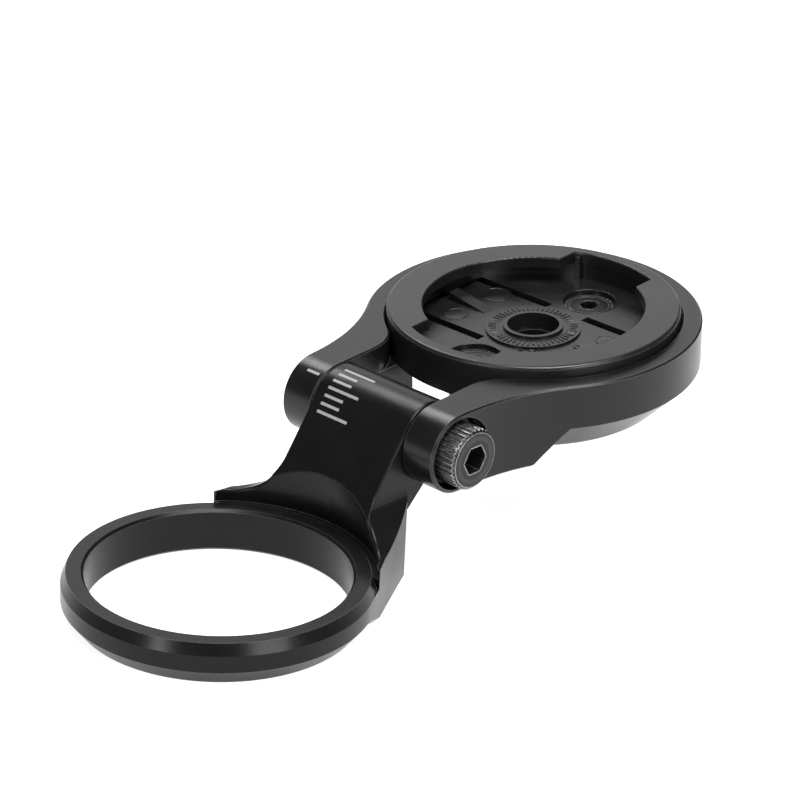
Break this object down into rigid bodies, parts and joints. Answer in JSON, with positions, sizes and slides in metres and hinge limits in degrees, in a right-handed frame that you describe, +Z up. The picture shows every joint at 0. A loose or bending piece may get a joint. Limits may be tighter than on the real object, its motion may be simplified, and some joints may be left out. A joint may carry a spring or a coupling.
{
  "type": "handlebar computer mount",
  "caption": "Black steerer-ring mount with a leaning arm and a pinch-bolted tilting fork that carries a round quarter-turn socket for a cycling computer.",
  "frame": {"origin": "centre of the steerer bore, half way up the ring", "axes": "+Z up along the steerer bore; +X forwards from the bore to the computer's seat; +Y to the left, so the pinch bolt's head is on -Y"},
  "size_m": [0.0863, 0.0392, 0.0242],
  "materials": {
    "anodised_aluminium": "fine satin black anodising",
    "moulded_composite": "moulded, fine matte",
    "black_steel": "black oxide",
    "bare_steel": "plain stainless"
  },
  "bodies": {
    "ring": {"steerer_ring_arm": "anodised_aluminium"},
    "head": {"computer_fork": "anodised_aluminium", "quarter_turn_insert": "moulded_composite", "insert_screw_front": "black_steel", "insert_screw_rear": "black_steel", "hub_ferrule": "moulded_composite", "lug_thread_sleeve": "bare_steel", "pinch_washer": "bare_steel"},
    "bolt": {"pinch_bolt": "black_steel"}
  },
  "joints": [
    {"name": "head_tilt", "type": "hinge", "parent": "ring", "child": "head", "pos_m": [0.0248, 0, 0.0126], "axis": [0, -1, 0], "range_deg": [-75, 95]},
    {"name": "bolt_turn", "type": "hinge", "parent": "head", "child": "bolt", "pos_m": [0.0248, 0, 0.0126], "axis": [0, 1, 0], "range_deg": [-360, 0]}
  ]
}
